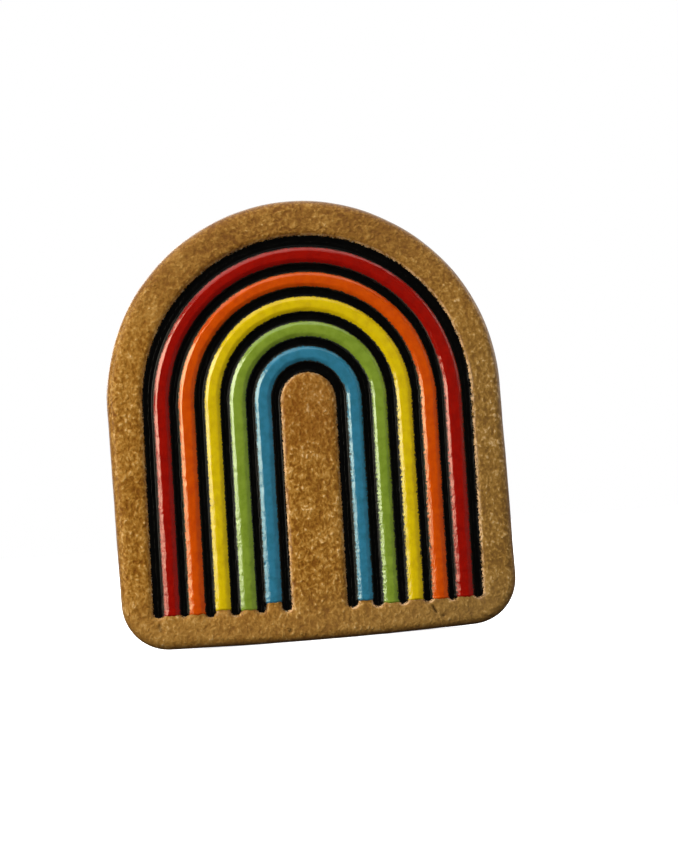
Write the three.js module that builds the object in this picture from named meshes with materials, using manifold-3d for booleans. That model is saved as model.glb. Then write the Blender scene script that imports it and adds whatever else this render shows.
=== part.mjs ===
// A rainbow pin badge of embossed leather, painted with enamel and held on cloth by two butterfly clutches.
// Millimetres. +Z is up, the front faces -Y, and the origin is the middle of the flat back face.
import * as THREE from "three";
import { mergeVertices } from "three/addons/utils/BufferGeometryUtils.js";
import Module from "manifold-3d";

const wasm = await Module();
wasm.setup();

// ---- Driving dimensions -------------------------------------------------------------------------------

// The leather badge: an arch on two straight sides, with rounded bottom corners.
const HEIGHT = 35;
const HALF_WIDTH = 15.7;
const CORNER_RADIUS = 3.7;
const BOTTOM_BOW = 0.2;
const FACE_THICKNESS = 2.4;
const BACKING_THICKNESS = 1.0;
const FRONT_EDGE_RADIUS = 0.8;
const REAR_EDGE_RADIUS = 0.4;
const GLUE_FILM = 0.02;

// The artwork: black lines in channels, with a coloured enamel stripe on each ridge between two lines.
const ARTWORK_TURN = THREE.MathUtils.degToRad(1.25);
const FIRST_LINE_RADIUS = 2.6;
const LINE_PITCH = 2.02;
const LINE_COUNT = 6;
const LINE_WIDTH = 0.74;
const OUTER_LINE_WIDTH = 0.9;
const LEG_LENGTH = 16.7;
const STRIPE_LEG_LENGTH = 16.4;
const CHANNEL_DEPTH = 0.55;
const RIDGE_RECESS = 0.22;
const LINE_PAINT = 0.13;
const STRIPE_EDGE = 0.06;
const STRIPE_CROWN = 0.21;
const STRIPE_SHOULDER = 0.42;
const PAINT_GAP = 0.02;

// The two posts, each on a round pad that is glued between the leathers.
const POST_X = 8;
const POST_RADIUS = 0.55;
const POST_TIP_Y = 8.8;
const POST_TAPER = 0.9;
const POST_TIP_RADIUS = 0.1;
const GROOVE_Y = 7.2;
const GROOVE_WIDTH = 0.5;
const GROOVE_DEPTH = 0.13;
const HEAD_RADIUS = 0.9;
const HEAD_THICKNESS = 0.2;
const PAD_RADIUS = 4;
const PAD_THICKNESS = 0.35;
const RUNNING_GAP = 0.05;

// The butterfly clutches. Heights in a clutch are counted from the side of its plate that meets the cloth.
const CLOTH_GAP = 2.1;
const PLATE_RADIUS = 5.75;
const PLATE_SHEET = 0.35;
const PLATE_HOLE_RADIUS = 0.65;
const BOSS_RADIUS = 2.3;
const BOSS_RISE = 0.25;
const STRIP_SHEET = 0.28;
const STRIP_HALF_WIDTH = 2.1;
const STRIP_GAP = 0.04;
const JAW_TRAVEL = 0.5;
const FOOT_REACH = 1.75;
const WING_ROOT = 3.2;
const WING_TIP = 5.0;
const WING_HEIGHT = 7.0;
const WING_HALF_WIDTH = 3.0;
const HEM_HALF_LENGTH = 1.9;
const HEM_SHEET = 0.3;
const HEM_OVERLAP = 0.7;

// ---- Places that follow from them ---------------------------------------------------------------------

const ARCH_Z = HEIGHT / 2 - HALF_WIDTH;
const FRONT_Y = -(FACE_THICKNESS + BACKING_THICKNESS);
const JOINT_Y = -BACKING_THICKNESS;
const POST_Z = ARCH_Z;
const BOSS_TOP = PLATE_SHEET + BOSS_RISE;
const STRIP_PITCH = STRIP_SHEET + STRIP_GAP;

// ---- Materials ----------------------------------------------------------------------------------------

const paint = (color, roughness) => new THREE.MeshStandardMaterial({ color, roughness, metalness: 0 });
const metal = (color, roughness) => new THREE.MeshStandardMaterial({ color, roughness, metalness: 1 });

const tanLeather = paint(0x9a6b33, 0.62);
const backLeather = paint(0x8a6034, 0.8);
const blackEnamel = paint(0x050505, 0.18);
const nickel = metal(0xc9c7c2, 0.28);
const springSteel = metal(0xbfc0c2, 0.24);

// Stripes from the inner one out.
const STRIPES = [
  { name: "stripe_blue", material: paint(0x266983, 0.16) },
  { name: "stripe_green", material: paint(0x6e8528, 0.16) },
  { name: "stripe_yellow", material: paint(0xbea30c, 0.16) },
  { name: "stripe_orange", material: paint(0xbe4305, 0.16) },
  { name: "stripe_red", material: paint(0x8a1208, 0.16) },
];

// ---- Geometry helpers ---------------------------------------------------------------------------------

// A closed three.js geometry as a solid that can be cut and joined.
function solidOf(geometry) {
  const bare = geometry.clone();
  bare.deleteAttribute("normal");
  bare.deleteAttribute("uv");
  const merged = mergeVertices(bare, 1e-5);
  return new wasm.Manifold(
    new wasm.Mesh({
      numProp: 3,
      vertProperties: merged.attributes.position.array,
      triVerts: new Uint32Array(merged.index.array),
    }),
  );
}

// A cut or joined solid back as a three.js geometry.
function geometryOf(solid) {
  const mesh = solid.getMesh();
  const geometry = new THREE.BufferGeometry();
  geometry.setAttribute("position", new THREE.BufferAttribute(mesh.vertProperties, 3));
  geometry.setIndex(new THREE.BufferAttribute(mesh.triVerts, 1));
  const flat = geometry.toNonIndexed();
  flat.computeVertexNormals();
  return flat;
}

// Points along a circular arc, ends included.
function arcPoints(centreX, centreY, radius, from, to, steps) {
  return Array.from({ length: steps + 1 }, (_, i) => {
    const angle = from + ((to - from) * i) / steps;
    return new THREE.Vector2(centreX + radius * Math.cos(angle), centreY + radius * Math.sin(angle));
  });
}

// A shape drawn in X and Z, made solid between two values of Y. A rounding softens the edges of its front
// and of its back.
function slab(shape, frontY, backY, rounding) {
  const { size = 0, rise = size, steps = 2 } = rounding ?? {};
  const geometry = new THREE.ExtrudeGeometry(shape, {
    depth: backY - frontY - rise,
    bevelEnabled: size > 0,
    bevelThickness: rise,
    bevelSize: size,
    bevelOffset: -size,
    bevelSegments: steps,
  });
  return geometry.rotateX(Math.PI / 2).translate(0, backY, 0);
}

// The same, with its rounding on the front only: the rounding behind backY is cut away.
function frontRoundedSlab(shape, frontY, backY, rounding) {
  return solidOf(slab(shape, frontY, backY, rounding)).trimByPlane([0, -1, 0], -backY);
}

// A solid turned about, and then stood up, so that its own Y axis (a lathe's axis) stays along Y.
function lathed(profile, segments) {
  return new THREE.LatheGeometry(
    profile.map(([radius, y]) => new THREE.Vector2(radius, y)),
    segments,
  );
}

// ---- The leather badge --------------------------------------------------------------------------------

// The badge's outline in X and Z.
function badgeOutline() {
  const cornerZ = -HEIGHT / 2 + BOTTOM_BOW + CORNER_RADIUS;
  const cornerX = HALF_WIDTH - CORNER_RADIUS;
  const bottomZ = cornerZ - CORNER_RADIUS;
  const bottom = new THREE.QuadraticBezierCurve(
    new THREE.Vector2(-cornerX, bottomZ),
    new THREE.Vector2(0, bottomZ - 2 * BOTTOM_BOW),
    new THREE.Vector2(cornerX, bottomZ),
  );
  return new THREE.Shape([
    ...arcPoints(0, ARCH_Z, HALF_WIDTH, 0, Math.PI, 32),
    ...arcPoints(-cornerX, cornerZ, CORNER_RADIUS, Math.PI, 1.5 * Math.PI, 6),
    ...bottom.getPoints(6).slice(1, -1),
    ...arcPoints(cornerX, cornerZ, CORNER_RADIUS, 1.5 * Math.PI, 2 * Math.PI, 6),
  ]);
}

// An arch with two straight legs, as a band between two radii. The legs end round or square.
function archBand(innerRadius, outerRadius, legLength, roundEnds) {
  const middle = (innerRadius + outerRadius) / 2;
  const half = (outerRadius - innerRadius) / 2;
  const legEnd = (x) =>
    roundEnds
      ? arcPoints(x, half - legLength, half, Math.PI, 2 * Math.PI, 5)
      : [new THREE.Vector2(x - half, -legLength), new THREE.Vector2(x + half, -legLength)];
  return new THREE.Shape([
    ...arcPoints(0, 0, outerRadius, 0, Math.PI, 24),
    ...legEnd(-middle),
    ...arcPoints(0, 0, innerRadius, Math.PI, 0, 24),
    ...legEnd(middle),
  ]);
}

// Puts a piece of artwork that was drawn about the arch's centre in its place on the badge.
function placeArtwork(geometry) {
  return geometry.rotateY(ARTWORK_TURN).translate(0, 0, ARCH_Z);
}

const lineRadius = (i) => FIRST_LINE_RADIUS + i * LINE_PITCH;
const lineWidth = (i) => (i === LINE_COUNT - 1 ? OUTER_LINE_WIDTH : LINE_WIDTH);

// The band that line i takes up, drawn in by a margin on every side.
function lineBand(i, margin) {
  const half = lineWidth(i) / 2 - margin;
  return archBand(lineRadius(i) - half, lineRadius(i) + half, LEG_LENGTH - margin, true);
}

// The band that stripe i takes up, between line i and line i + 1.
function stripeBand(i, margin) {
  const inner = lineRadius(i) + lineWidth(i) / 2 + margin;
  const outer = lineRadius(i + 1) - lineWidth(i + 1) / 2 - margin;
  return archBand(inner, outer, STRIPE_LEG_LENGTH - margin, false);
}

// The front leather: channels and ridge recesses in its face, and two pockets for the pads behind.
function leatherFace() {
  let face = frontRoundedSlab(badgeOutline(), FRONT_Y, JOINT_Y - GLUE_FILM, { size: FRONT_EDGE_RADIUS });
  const above = FRONT_Y - 1;
  for (let i = 0; i < LINE_COUNT; i++) {
    const channel = slab(lineBand(i, 0), above, FRONT_Y + CHANNEL_DEPTH);
    face = face.subtract(solidOf(placeArtwork(channel)));
  }
  for (let i = 0; i < LINE_COUNT - 1; i++) {
    const recess = slab(stripeBand(i, -PAINT_GAP / 2), above, FRONT_Y + RIDGE_RECESS);
    face = face.subtract(solidOf(placeArtwork(recess)));
  }
  for (const side of [-1, 1]) {
    const pocketDepth = PAD_THICKNESS + HEAD_THICKNESS + 3 * RUNNING_GAP;
    const pocket = new THREE.CylinderGeometry(PAD_RADIUS + RUNNING_GAP, PAD_RADIUS + RUNNING_GAP, 2 * pocketDepth, 24);
    pocket.translate(side * POST_X, JOINT_Y, POST_Z);
    face = face.subtract(solidOf(pocket));
  }
  return geometryOf(face);
}

// The leather backing: the same outline, softened at the rear, with a hole for each post.
function leatherBacking() {
  const rounded = slab(badgeOutline(), JOINT_Y - REAR_EDGE_RADIUS, 0 - REAR_EDGE_RADIUS, { size: REAR_EDGE_RADIUS });
  let backing = solidOf(rounded).trimByPlane([0, 1, 0], JOINT_Y);
  for (const side of [-1, 1]) {
    const radius = POST_RADIUS + RUNNING_GAP;
    const hole = new THREE.CylinderGeometry(radius, radius, 4 * BACKING_THICKNESS, 16);
    hole.translate(side * POST_X, 0, POST_Z);
    backing = backing.subtract(solidOf(hole));
  }
  return geometryOf(backing);
}

// Black enamel on the floor of channel i.
function channelLine(i) {
  const floor = FRONT_Y + CHANNEL_DEPTH - PAINT_GAP;
  return placeArtwork(slab(lineBand(i, PAINT_GAP), floor - LINE_PAINT, floor));
}

// Coloured enamel on ridge i: flat behind, with a rounded crown.
function stripe(i) {
  const base = FRONT_Y + RIDGE_RECESS - PAINT_GAP;
  const front = base - STRIPE_EDGE - STRIPE_CROWN;
  const solid = frontRoundedSlab(stripeBand(i, PAINT_GAP), front, base, { size: STRIPE_SHOULDER, rise: STRIPE_CROWN });
  return placeArtwork(geometryOf(solid));
}

// ---- Posts and pads -----------------------------------------------------------------------------------

const PAD_BACK_Y = JOINT_Y - RUNNING_GAP;
const PAD_FRONT_Y = PAD_BACK_Y - PAD_THICKNESS;

// A round pad with a hole for the post.
function postPad() {
  const hole = POST_RADIUS + RUNNING_GAP;
  return lathed(
    [
      [hole, PAD_FRONT_Y],
      [PAD_RADIUS, PAD_FRONT_Y],
      [PAD_RADIUS, PAD_BACK_Y],
      [hole, PAD_BACK_Y],
      [hole, PAD_FRONT_Y],
    ],
    24,
  );
}

// A pointed post with a flat head in front of the pad and a groove near its tip for the clutch to grip.
function post() {
  const headBack = PAD_FRONT_Y - GLUE_FILM;
  const inGroove = POST_RADIUS - GROOVE_DEPTH;
  return lathed(
    [
      [0, headBack - HEAD_THICKNESS],
      [HEAD_RADIUS, headBack - HEAD_THICKNESS],
      [HEAD_RADIUS, headBack],
      [POST_RADIUS, headBack],
      [POST_RADIUS, GROOVE_Y - GROOVE_WIDTH / 2],
      [inGroove, GROOVE_Y - GROOVE_WIDTH / 4],
      [inGroove, GROOVE_Y + GROOVE_WIDTH / 4],
      [POST_RADIUS, GROOVE_Y + GROOVE_WIDTH / 2],
      [POST_RADIUS, POST_TIP_Y - POST_TAPER],
      [POST_TIP_RADIUS, POST_TIP_Y - POST_TIP_RADIUS / 2],
      [0, POST_TIP_Y],
    ],
    16,
  );
}

// ---- Butterfly clutch ---------------------------------------------------------------------------------

// The round plate with its raised boss and rolled rim, and two hems that hold the spring strips down.
function clutchPlate() {
  const flatEdge = PLATE_RADIUS - 0.5;
  const bossFoot = BOSS_RADIUS + 0.4;
  const plate = lathed(
    [
      [PLATE_HOLE_RADIUS, BOSS_RISE],
      [BOSS_RADIUS, BOSS_RISE],
      [bossFoot, 0],
      [flatEdge, 0],
      [PLATE_RADIUS, 0.2],
      [PLATE_RADIUS, 0.62],
      [PLATE_RADIUS - 0.2, 0.78],
      [flatEdge, 0.66],
      [flatEdge - 0.05, PLATE_SHEET],
      [bossFoot, PLATE_SHEET],
      [BOSS_RADIUS, BOSS_TOP],
      [PLATE_HOLE_RADIUS, BOSS_TOP],
      [PLATE_HOLE_RADIUS, BOSS_RISE],
    ],
    32,
  );
  const hemInside = STRIP_HALF_WIDTH + STRIP_GAP * 2;
  const hemOutside = hemInside + HEM_SHEET;
  const flangeUnder = BOSS_TOP + 2 * STRIP_PITCH + 2 * STRIP_GAP;
  const flangeTop = flangeUnder + HEM_SHEET;
  const section = new THREE.Shape([
    new THREE.Vector2(hemInside, BOSS_RISE / 2),
    new THREE.Vector2(hemOutside, BOSS_RISE / 2),
    new THREE.Vector2(hemOutside, flangeUnder),
    ...arcPoints(hemInside, flangeUnder, HEM_SHEET, Math.PI / 8, Math.PI / 2, 3),
    new THREE.Vector2(hemInside - HEM_OVERLAP, flangeTop),
    new THREE.Vector2(hemInside - HEM_OVERLAP, flangeUnder),
    new THREE.Vector2(hemInside, flangeUnder),
  ]);
  const hem = new THREE.ExtrudeGeometry(section, { depth: 2 * HEM_HALF_LENGTH, bevelEnabled: false });
  hem.translate(0, 0, -HEM_HALF_LENGTH);
  const rightHem = solidOf(hem);
  return geometryOf(solidOf(plate).add(rightHem).add(rightHem.rotate([0, 180, 0])));
}

// One jaw of spring strip, with its wing towards +Z: a foot that crosses the post, a bend and a flared wing.
function clutchJaw(footUnder) {
  const footMiddle = footUnder + STRIP_SHEET / 2;
  const bend = 0.55;
  const centreline = new THREE.CurvePath();
  const footEnd = new THREE.Vector2(WING_ROOT - bend, footMiddle);
  const wingStart = new THREE.Vector2(WING_ROOT, footMiddle + bend);
  const wingTop = new THREE.Vector2(WING_TIP, WING_HEIGHT - STRIP_SHEET);
  centreline.add(new THREE.LineCurve(new THREE.Vector2(-FOOT_REACH, footMiddle), footEnd));
  centreline.add(new THREE.QuadraticBezierCurve(footEnd, new THREE.Vector2(WING_ROOT, footMiddle), wingStart));
  centreline.add(
    new THREE.CubicBezierCurve(
      wingStart,
      new THREE.Vector2(WING_ROOT, WING_HEIGHT * 0.55),
      new THREE.Vector2(WING_ROOT + 0.5, WING_HEIGHT * 0.8),
      wingTop,
    ),
  );
  const [foot, corner, wing] = centreline.curves;
  const stations = [
    [foot, 0],
    ...[0, 0.25, 0.5, 0.75].map((t) => [corner, t]),
    ...[0, 0.2, 0.4, 0.6, 0.8, 1].map((t) => [wing, t]),
  ];
  const side = (sign) =>
    stations.map(([curve, t]) => {
      const tangent = curve.getTangent(t);
      const offset = new THREE.Vector2(-tangent.y, tangent.x).multiplyScalar((sign * STRIP_SHEET) / 2);
      return curve.getPoint(t).add(offset);
    });
  const ribbonShape = new THREE.Shape([...side(-1), ...side(1).reverse()]);
  const width = 2 * WING_HALF_WIDTH;
  // Drawn in Z and Y, pushed out along X: local x becomes Z, local y stays Y and depth runs along -X.
  const ribbon = new THREE.ExtrudeGeometry(ribbonShape, { depth: width, bevelEnabled: false });
  ribbon.rotateY(-Math.PI / 2).translate(WING_HALF_WIDTH, 0, 0);

  // Seen along Z, the strip is narrow at the foot and widens into a round-topped wing.
  const cornerRadius = 1.6;
  const shoulder = footMiddle + bend + 0.6;
  const silhouette = new THREE.Shape([
    new THREE.Vector2(-STRIP_HALF_WIDTH, -1),
    new THREE.Vector2(STRIP_HALF_WIDTH, -1),
    new THREE.Vector2(STRIP_HALF_WIDTH, shoulder),
    new THREE.Vector2(WING_HALF_WIDTH, shoulder + 1.6),
    ...arcPoints(WING_HALF_WIDTH - cornerRadius, WING_HEIGHT - cornerRadius, cornerRadius, 0, Math.PI / 2, 5),
    ...arcPoints(cornerRadius - WING_HALF_WIDTH, WING_HEIGHT - cornerRadius, cornerRadius, Math.PI / 2, Math.PI, 5),
    new THREE.Vector2(-WING_HALF_WIDTH, shoulder + 1.6),
    new THREE.Vector2(-STRIP_HALF_WIDTH, shoulder),
  ]);
  const outline = new THREE.ExtrudeGeometry(silhouette, { depth: 4 * WING_TIP, bevelEnabled: false });
  outline.translate(0, 0, -2 * WING_TIP);

  // The slot lets the jaw slide past the post by its travel.
  const slotRadius = POST_RADIUS + RUNNING_GAP;
  const slotShape = new THREE.Shape([
    ...arcPoints(0, JAW_TRAVEL, slotRadius, 0, Math.PI, 8),
    ...arcPoints(0, 0, slotRadius, Math.PI, 2 * Math.PI, 8),
  ]);
  const slot = slab(slotShape, -WING_HEIGHT, WING_HEIGHT);
  return geometryOf(solidOf(ribbon).intersect(solidOf(outline)).subtract(solidOf(slot)));
}

// ---- Assembly -----------------------------------------------------------------------------------------

const badge = new THREE.Group();

function addPiece(parent, name, geometry, material) {
  const mesh = new THREE.Mesh(geometry, material);
  mesh.name = name;
  parent.add(mesh);
  return mesh;
}

addPiece(badge, "leather_face", leatherFace(), tanLeather);
addPiece(badge, "leather_backing", leatherBacking(), backLeather);
for (let i = 0; i < LINE_COUNT; i++) {
  addPiece(badge, `channel_line_${i + 1}`, channelLine(i), blackEnamel);
}
STRIPES.forEach(({ name, material }, i) => addPiece(badge, name, stripe(i), material));

for (const [side, x] of [
  ["left", -POST_X],
  ["right", POST_X],
]) {
  const pin = new THREE.Group();
  pin.position.set(x, 0, POST_Z);
  addPiece(pin, `post_pad_${side}`, postPad(), nickel);
  addPiece(pin, `post_${side}`, post(), nickel);

  const clutch = new THREE.Group();
  clutch.position.y = CLOTH_GAP;
  addPiece(clutch, `clutch_plate_${side}`, clutchPlate(), nickel);
  addPiece(clutch, `clutch_jaw_upper_${side}`, clutchJaw(BOSS_TOP + STRIP_GAP), springSteel);
  const lowerJaw = clutchJaw(BOSS_TOP + STRIP_GAP + STRIP_PITCH).rotateY(Math.PI);
  addPiece(clutch, `clutch_jaw_lower_${side}`, lowerJaw, springSteel);
  pin.add(clutch);
  badge.add(pin);
}

export default badge;
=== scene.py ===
"""A rainbow pin badge: embossed, hand-painted leather on two posts, with butterfly clutches behind."""

import math

import bmesh
import bpy
import numpy as np
from mathutils import Matrix, Vector, noise
from mathutils.geometry import delaunay_2d_cdt, interpolate_bezier

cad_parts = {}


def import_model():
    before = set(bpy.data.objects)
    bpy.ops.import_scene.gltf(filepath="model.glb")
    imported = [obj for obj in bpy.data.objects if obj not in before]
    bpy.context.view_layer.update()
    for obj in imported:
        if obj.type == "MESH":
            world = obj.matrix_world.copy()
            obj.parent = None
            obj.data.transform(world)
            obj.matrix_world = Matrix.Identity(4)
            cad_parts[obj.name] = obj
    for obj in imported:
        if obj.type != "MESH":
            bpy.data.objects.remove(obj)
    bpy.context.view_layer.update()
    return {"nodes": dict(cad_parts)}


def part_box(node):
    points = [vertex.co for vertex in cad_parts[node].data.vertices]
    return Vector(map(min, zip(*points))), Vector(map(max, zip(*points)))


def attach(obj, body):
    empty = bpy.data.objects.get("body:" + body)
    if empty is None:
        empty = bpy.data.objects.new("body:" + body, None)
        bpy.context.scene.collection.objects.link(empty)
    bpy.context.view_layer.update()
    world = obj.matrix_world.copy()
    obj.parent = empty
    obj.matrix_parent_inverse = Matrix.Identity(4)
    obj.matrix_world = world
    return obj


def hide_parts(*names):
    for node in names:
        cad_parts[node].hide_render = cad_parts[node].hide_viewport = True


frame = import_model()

# ---- Driving dimensions. Shapes are worked out in millimetres and scaled to metres as meshes are made ----

MM = 0.001


def box_mm(node):
    """A CAD node's lowest and highest corners in millimetres."""
    low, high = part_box(node)
    return Vector(low) / MM, Vector(high) / MM


def centre_of(node):
    """A CAD node's middle, across and up, in millimetres."""
    low, high = box_mm(node)
    return (low.x + high.x) / 2, (low.z + high.z) / 2


def half_width(node):
    """Half of a CAD node's width in millimetres."""
    low, high = box_mm(node)
    return (high.x - low.x) / 2


face_low, face_high = box_mm("leather_face")
back_low, back_high = box_mm("leather_backing")
HALF_WIDTH = face_high.x
TOP, BOTTOM = face_high.z, face_low.z
FRONT, JOINT, BACK = face_low.y, back_low.y, back_high.y
CORNER = 3.7
BOTTOM_BOW = 0.2
FRONT_ROUND = 0.85
REAR_ROUND = 0.4

# The arch's centre. The badge's bottom edge and the middle of its right corner's curve are counted from it.
ARCH_Z = TOP - HALF_WIDTH
LOWEST = BOTTOM - ARCH_Z
CORNER_X = HALF_WIDTH - CORNER
CORNER_Z = LOWEST + BOTTOM_BOW + CORNER

# The artwork about the centre of the arch, as the CAD model sets it out. It is shifted only here.
ARTWORK_TURN = math.radians(1.25)
ARTWORK_SHIFT = (0.19, -0.12)
TURN_FADE = 2.3
STRIPES = ("blue", "green", "yellow", "orange", "red")
LINE_COUNT = 6
FIRST_LINE = 2.6
LINE_PITCH = 2.02
LEG_END = -16.7

# Heights count from the plane of the front, positive towards the viewer.
CHANNEL_DEPTH = 0.5
RIDGE_TOP = -0.07
UNDER_STRIPES = 0.09
CROWN = 0.06
CROWN_FLAT = 0.43
CROWN_EDGE = -0.14
PAINT_FLOOR = -0.36
PAINT_BANK = 0.13
FILM = 0.014
CREEP = 0.06
UNDERSIDE = 0.06

# How far a channel's shoulders reach past its line, and how steep they are, beside bare leather and ridges.
LAND_SHOULDER = (0.06, 5.0)
RIDGE_SHOULDER = (0.03, 6.0)

# The leather's mesh: the outer band with closer rows, steps round the arch, points round each hole, and the
# distance to black paint where there is none near.
RIM_WIDTH = 1.15
ARCH_STEPS = 250
POCKET_POINTS = 48
HOLE_POINTS = 40
CLEAR_OF_BLACK = 9.0

# Pockets for the pads, and holes for the posts.
POCKET_CLEARANCE = 0.03
POCKET_DEPTH = 0.68
HOLE_RADIUS = 0.58
SHANK_RADIUS = 0.55

# The springs' strip: its thickness, where its foot ends past the post, and where it turns up to the wing.
STRIP = 0.26
STRIP_END = 1.75
STRIP_TURN = 3.2
WING_START = STRIP_END + STRIP_TURN + 0.4

SIDES = ("left", "right")
WELD, FINE_WELD = 1e-6, 1e-7


# ---- Small helpers ----

def smooth(low, high, x):
    """0 below low, 1 above high, and a smooth rise between them. low may be above high."""
    t = np.clip((np.asarray(x, float) - low) / (high - low), 0, 1)
    return t * t * (3 - 2 * t)


def ripple(x, y, scale, seed):
    """Smooth noise from about -1 to 1, at scale features a millimetre."""
    x, y = np.broadcast_arrays(x, y)
    flat = (noise.noise((a * scale, b * scale, seed)) for a, b in zip(x.ravel(), y.ravel()))
    return np.fromiter(flat, float, x.size).reshape(x.shape)


def spaced(start, end, step):
    """Even values from start to end, about a step apart, without the end itself."""
    count = max(1, round(abs(end - start) / step))
    return np.linspace(start, end, count, endpoint=False)


def make_object(name, points, faces, attributes=None):
    """A smoothly shaded mesh object from points in millimetres."""
    mesh = bpy.data.meshes.new(name)
    mesh.from_pydata((np.asarray(points) * MM).tolist(), [], [list(map(int, f)) for f in faces])
    for key, values in (attributes or {}).items():
        layer = mesh.attributes.new(key, "FLOAT", "POINT")
        layer.data.foreach_set("value", np.asarray(values, np.float32).ravel())
    mesh.validate()
    mesh.shade_smooth()
    obj = bpy.data.objects.new(name, mesh)
    bpy.context.scene.collection.objects.link(obj)
    return obj


def weld(obj, distance=WELD):
    """Joins coinciding points and points every face outwards."""
    mesh = bmesh.new()
    mesh.from_mesh(obj.data)
    bmesh.ops.remove_doubles(mesh, verts=mesh.verts, dist=distance)
    bmesh.ops.dissolve_degenerate(mesh, dist=distance / 10, edges=mesh.edges)
    bmesh.ops.recalc_face_normals(mesh, faces=mesh.faces)
    mesh.to_mesh(obj.data)
    mesh.free()
    return obj


def quads(rows, columns, offset=0, flip=False):
    """The faces of a grid whose points run along the columns of each row in turn."""
    faces = []
    for i in range(rows - 1):
        for j in range(columns - 1):
            a = offset + i * columns + j
            face = (a, a + 1, a + columns + 1, a + columns)
            faces.append(face[::-1] if flip else face)
    return faces


def loop_strip(first, second):
    """Faces between two closed loops of point numbers."""
    count = len(first)
    return [(first[i], first[(i + 1) % count], second[(i + 1) % count], second[i]) for i in range(count)]


def numbered_rings(rings, count):
    """Faces between each ring of points and the next. Each ring has count points."""
    faces = []
    for k in range(rings - 1):
        first = list(range(k * count, (k + 1) * count))
        faces += loop_strip(first, [v + count for v in first])
    return faces


def stood_up(flat, y):
    """Flat points at depth y, which is one number or one for each point."""
    return np.column_stack([flat[:, 0], np.broadcast_to(y, len(flat)), flat[:, 1]])


def circle(centre, radius, count):
    """Points round a circle."""
    angles = np.linspace(0, 2 * math.pi, count, endpoint=False)
    return np.column_stack([centre[0] + radius * np.cos(angles), centre[1] + radius * np.sin(angles)])


def inside(points, loop):
    """True for each point inside a closed loop."""
    x, y = points[:, 0], points[:, 1]
    found = np.zeros(len(points), bool)
    for (ax, ay), (bx, by) in zip(loop, np.roll(loop, -1, axis=0)):
        crosses = (ay > y) != (by > y)
        with np.errstate(divide="ignore", invalid="ignore"):
            found ^= crosses & (x < (bx - ax) * (y - ay) / (by - ay) + ax)
    return found


def between(points, loops):
    """True for each point inside the first loop and outside the others."""
    found = inside(points, loops[0])
    for loop in loops[1:]:
        found &= ~inside(points, loop)
    return found


def staggered(loops, spacing):
    """A grid of nearly even triangles between loops, with every other row half a step aside."""
    low, high = loops[0].min(0), loops[0].max(0)
    rows = np.arange(low[1] + spacing, high[1], spacing * 0.866)
    columns = np.arange(low[0], high[0], spacing)
    grid = np.array([(x + (k % 2) * spacing / 2, y) for k, y in enumerate(rows) for x in columns])
    return grid[between(grid, loops)]


def fill(outline, holes=(), spacing=None):
    """Points and triangles of a flat sheet with holes. The outline's points come first, then the holes'."""
    loops = [np.asarray(outline), *map(np.asarray, holes)]
    points = np.vstack(loops)
    edges, start = [], 0
    for loop in loops:
        count = len(loop)
        edges += [(start + i, start + (i + 1) % count) for i in range(count)]
        start += count
    if spacing:
        grid = staggered(loops, spacing)
        nearest = np.min(np.hypot(*(grid[:, None] - points[None]).transpose(2, 0, 1)), axis=1)
        points = np.vstack([points, grid[nearest > spacing * 0.6]])
    made = delaunay_2d_cdt([Vector(p) for p in points], edges, [], 0, 1e-6, True)
    origin = [numbers[0] for numbers in made[3]]
    faces = np.array([[origin[v] for v in f] for f in made[2]])
    keep = between(points[faces].mean(axis=1), loops)
    a, b, c = (points[faces[:, k]] for k in range(3))
    clockwise = np.cross(b - a, c - a) < 0
    faces[clockwise] = faces[clockwise][:, ::-1]
    return points, faces[keep]


# ---- The rainbow's path: up the left leg, over the arch and down the right leg ----

def path(leg_heights, arch_steps):
    """Base points, outward directions and the distance along, from the left foot to the right."""
    middle_radius = 8
    legs = np.asarray(leg_heights, float)
    angles = np.linspace(math.pi, 0, arch_steps + 1)
    base = [(0, z) for z in legs] + [(0, 0)] * len(angles) + [(0, z) for z in legs[::-1]]
    out = [(-1, 0)] * len(legs) + [(math.cos(a), math.sin(a)) for a in angles] + [(1, 0)] * len(legs)
    over = middle_radius * (math.pi - angles)
    along = np.concatenate([legs, over, middle_radius * math.pi - legs[::-1]])
    return np.array(base, float), np.array(out, float), along


def on_arch(out):
    """0 on the legs and 1 at the top of the arch."""
    return np.clip(out[..., 1], 0, 1)


def outline_floor(r):
    """Height of the bottom edge above the arch's centre, at distance r from the middle."""
    bow = BOTTOM_BOW * np.clip(r / CORNER_X, 0, 1) ** 2
    t = np.clip((r - CORNER_X) / CORNER, 0, 1)
    return LOWEST + bow + CORNER * (1 - np.sqrt(1 - t * t))


def edge_distance(x, z):
    """Distance in from the badge's outline, for points counted from the arch's centre."""
    r = np.abs(x)
    arch = HALF_WIDTH - np.hypot(x, z)
    in_corner = (r > CORNER_X) & (z < CORNER_Z)
    corner = CORNER - np.hypot(r - CORNER_X, z - CORNER_Z)
    straight = np.minimum(HALF_WIDTH - r, z - outline_floor(np.minimum(r, CORNER_X)))
    return np.where(z > 0, arch, np.where(in_corner, corner, straight))


def wobble(x, z):
    """The outline's slight unevenness, as a hand-cut edge has."""
    return 0.05 * ripple(x, z, 0.11, 3.1) + 0.02 * ripple(x, z, 0.45, 8.7)


def to_badge(x, z, share):
    """Places counted from the arch's centre, on the badge. share is 1 where they move with the artwork."""
    angle = -ARTWORK_TURN * share
    across = x * np.cos(angle) - z * np.sin(angle) + ARTWORK_SHIFT[0] * share
    up = x * np.sin(angle) + z * np.cos(angle) + ARTWORK_SHIFT[1] * share
    return across, up + ARCH_Z


def artwork_share(x, z):
    """1 over the artwork, fading to 0 at the outline, so that the border takes up the artwork's turn."""
    return smooth(0, TURN_FADE, edge_distance(x, z))


# ---- Where the lines and ridges run, and how high everything stands ----

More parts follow.
